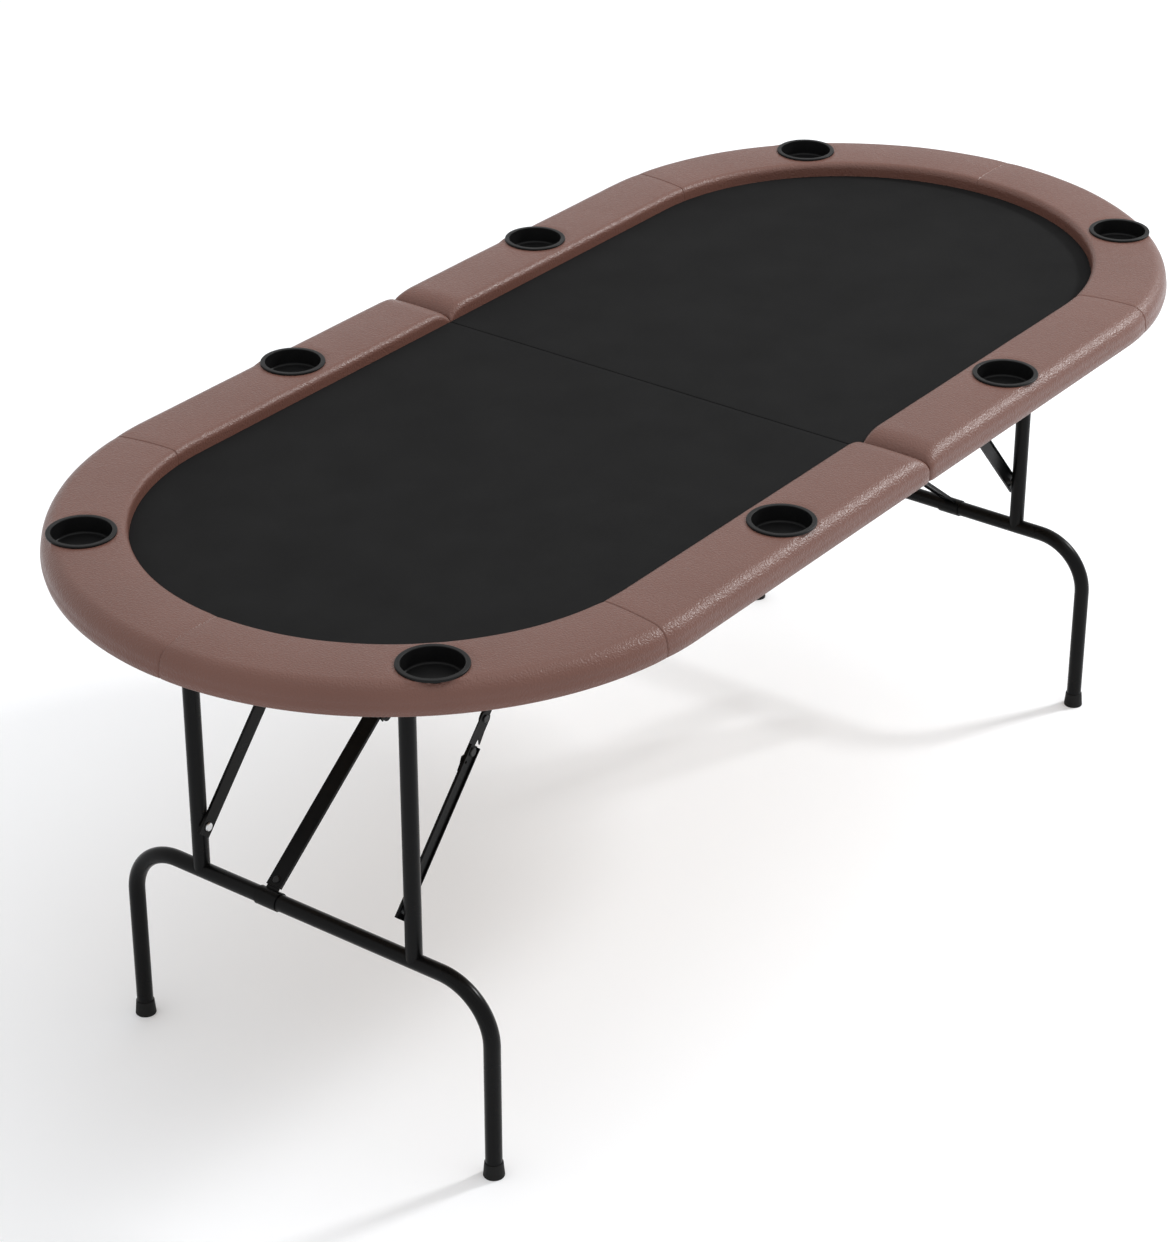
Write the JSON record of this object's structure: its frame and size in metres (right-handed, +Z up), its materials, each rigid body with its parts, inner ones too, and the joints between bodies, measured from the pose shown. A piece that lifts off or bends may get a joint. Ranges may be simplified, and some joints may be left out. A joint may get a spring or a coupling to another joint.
{
  "type": "poker table",
  "caption": "Long oval folding card table with a padded rail, drop-in cup holders and braced tubular legs that fold under each half.",
  "frame": {"origin": "on the floor under the middle of the table", "axes": "+X along the table towards half b, +Y to the left of someone at the -X end who faces the middle, +Z up"},
  "size_m": [1.9314, 0.8928, 0.7628],
  "materials": {
    "rail_vinyl": "fine grain",
    "cloth": "matte",
    "board_wood": "raw fibreboard",
    "batten_wood": "planed",
    "cup_plastic": "satin",
    "tube_steel": "satin powder coat",
    "brace_steel": "satin powder coat",
    "rivet_steel": "satin",
    "foot_rubber": "satin",
    "zinc": "bright zinc"
  },
  "bodies": {
    "half_a": {"board_a": "board_wood", "playing_cloth_a": "cloth", "fold_batten_a": "batten_wood", "brace_brackets_a": "brace_steel", "underside_screws_a": "zinc", "leg_saddles_a": "brace_steel", "rail_side_left_a": "rail_vinyl", "rail_side_right_a": "rail_vinyl", "rail_end_left_a": "rail_vinyl", "rail_end_right_a": "rail_vinyl", "cup_side_left_a": "cup_plastic", "cup_side_right_a": "cup_plastic", "cup_end_left_a": "cup_plastic", "cup_end_right_a": "cup_plastic", "hinge_leaves_a": "zinc", "hinge_pins": "zinc"},
    "half_b": {"board_b": "board_wood", "playing_cloth_b": "cloth", "fold_batten_b": "batten_wood", "brace_brackets_b": "brace_steel", "underside_screws_b": "zinc", "leg_saddles_b": "brace_steel", "rail_side_left_b": "rail_vinyl", "rail_side_right_b": "rail_vinyl", "rail_end_left_b": "rail_vinyl", "rail_end_right_b": "rail_vinyl", "cup_side_left_b": "cup_plastic", "cup_side_right_b": "cup_plastic", "cup_end_left_b": "cup_plastic", "cup_end_right_b": "cup_plastic", "hinge_leaves_b": "zinc"},
    "leg_a": {"leg_u_tube_a": "tube_steel", "leg_uprights_a": "tube_steel", "leg_pivot_tube_a": "tube_steel", "foot_caps_a": "foot_rubber", "leg_bolts_a": "zinc"},
    "side_upper_a": {"side_brace_uppers_a": "brace_steel"},
    "side_lower_a": {"side_brace_lower_left_a": "brace_steel", "side_brace_lower_right_a": "brace_steel", "side_brace_tongues_a": "brace_steel", "side_brace_rivets_a": "rivet_steel"},
    "centre_upper_a": {"centre_brace_upper_a": "brace_steel"},
    "centre_lower_a": {"centre_brace_lower_a": "brace_steel", "centre_brace_sleeve_a": "brace_steel", "centre_brace_rivets_a": "rivet_steel"},
    "leg_b": {"leg_u_tube_b": "tube_steel", "leg_uprights_b": "tube_steel", "leg_pivot_tube_b": "tube_steel", "foot_caps_b": "foot_rubber", "leg_bolts_b": "zinc"},
    "side_upper_b": {"side_brace_uppers_b": "brace_steel"},
    "side_lower_b": {"side_brace_lower_left_b": "brace_steel", "side_brace_lower_right_b": "brace_steel", "side_brace_tongues_b": "brace_steel", "side_brace_rivets_b": "rivet_steel"},
    "centre_upper_b": {"centre_brace_upper_b": "brace_steel"},
    "centre_lower_b": {"centre_brace_lower_b": "brace_steel", "centre_brace_sleeve_b": "brace_steel", "centre_brace_rivets_b": "rivet_steel"}
  },
  "joints": [
    {"name": "table_fold", "type": "hinge", "parent": "half_a", "child": "half_b", "pos_m": [0, 0, 0.672], "axis": [0, 1, 0], "range_deg": [0, 90]},
    {"name": "leg_fold_a", "type": "hinge", "parent": "half_a", "child": "leg_a", "pos_m": [-0.733, 0, 0.688], "axis": [0, -1, 0], "range_deg": [0, 90]},
    {"name": "side_upper_turn_a", "type": "hinge", "parent": "half_a", "child": "side_upper_a", "pos_m": [-0.41102, 0, 0.7105], "axis": [0, -1, 0], "range_deg": [-48.9, 0]},
    {"name": "side_lower_turn_a", "type": "hinge", "parent": "leg_a", "child": "side_lower_a", "pos_m": [-0.733, 0, 0.344], "axis": [0, -1, 0], "range_deg": [0, 36.47]},
    {"name": "centre_upper_turn_a", "type": "hinge", "parent": "half_a", "child": "centre_upper_a", "pos_m": [-0.16208, 0.06, 0.7105], "axis": [0, -1, 0], "range_deg": [-37.6, 0]},
    {"name": "centre_lower_turn_a", "type": "hinge", "parent": "leg_a", "child": "centre_lower_a", "pos_m": [-0.733, 0.06, 0.274], "axis": [0, -1, 0], "range_deg": [0, 48.23]},
    {"name": "leg_fold_b", "type": "hinge", "parent": "half_b", "child": "leg_b", "pos_m": [0.733, 0, 0.688], "axis": [0, 1, 0], "range_deg": [0, 90]},
    {"name": "side_upper_turn_b", "type": "hinge", "parent": "half_b", "child": "side_upper_b", "pos_m": [0.41102, 0, 0.7105], "axis": [0, 1, 0], "range_deg": [-48.9, 0]},
    {"name": "side_lower_turn_b", "type": "hinge", "parent": "leg_b", "child": "side_lower_b", "pos_m": [0.733, 0, 0.344], "axis": [0, 1, 0], "range_deg": [0, 36.47]},
    {"name": "centre_upper_turn_b", "type": "hinge", "parent": "half_b", "child": "centre_upper_b", "pos_m": [0.16208, -0.06, 0.7105], "axis": [0, 1, 0], "range_deg": [-37.6, 0]},
    {"name": "centre_lower_turn_b", "type": "hinge", "parent": "leg_b", "child": "centre_lower_b", "pos_m": [0.733, -0.06, 0.274], "axis": [0, 1, 0], "range_deg": [0, 48.23]}
  ],
  "couplings": [
    {"joint": "side_upper_turn_a", "follows": "leg_fold_a", "ratio": -0.54111},
    {"joint": "side_lower_turn_a", "follows": "leg_fold_a", "ratio": 0.40296},
    {"joint": "centre_upper_turn_a", "follows": "leg_fold_a", "ratio": -0.41556},
    {"joint": "centre_lower_turn_a", "follows": "leg_fold_a", "ratio": 0.53363},
    {"joint": "side_upper_turn_b", "follows": "leg_fold_b", "ratio": -0.54111},
    {"joint": "side_lower_turn_b", "follows": "leg_fold_b", "ratio": 0.40296},
    {"joint": "centre_upper_turn_b", "follows": "leg_fold_b", "ratio": -0.41556},
    {"joint": "centre_lower_turn_b", "follows": "leg_fold_b", "ratio": 0.53363}
  ]
}
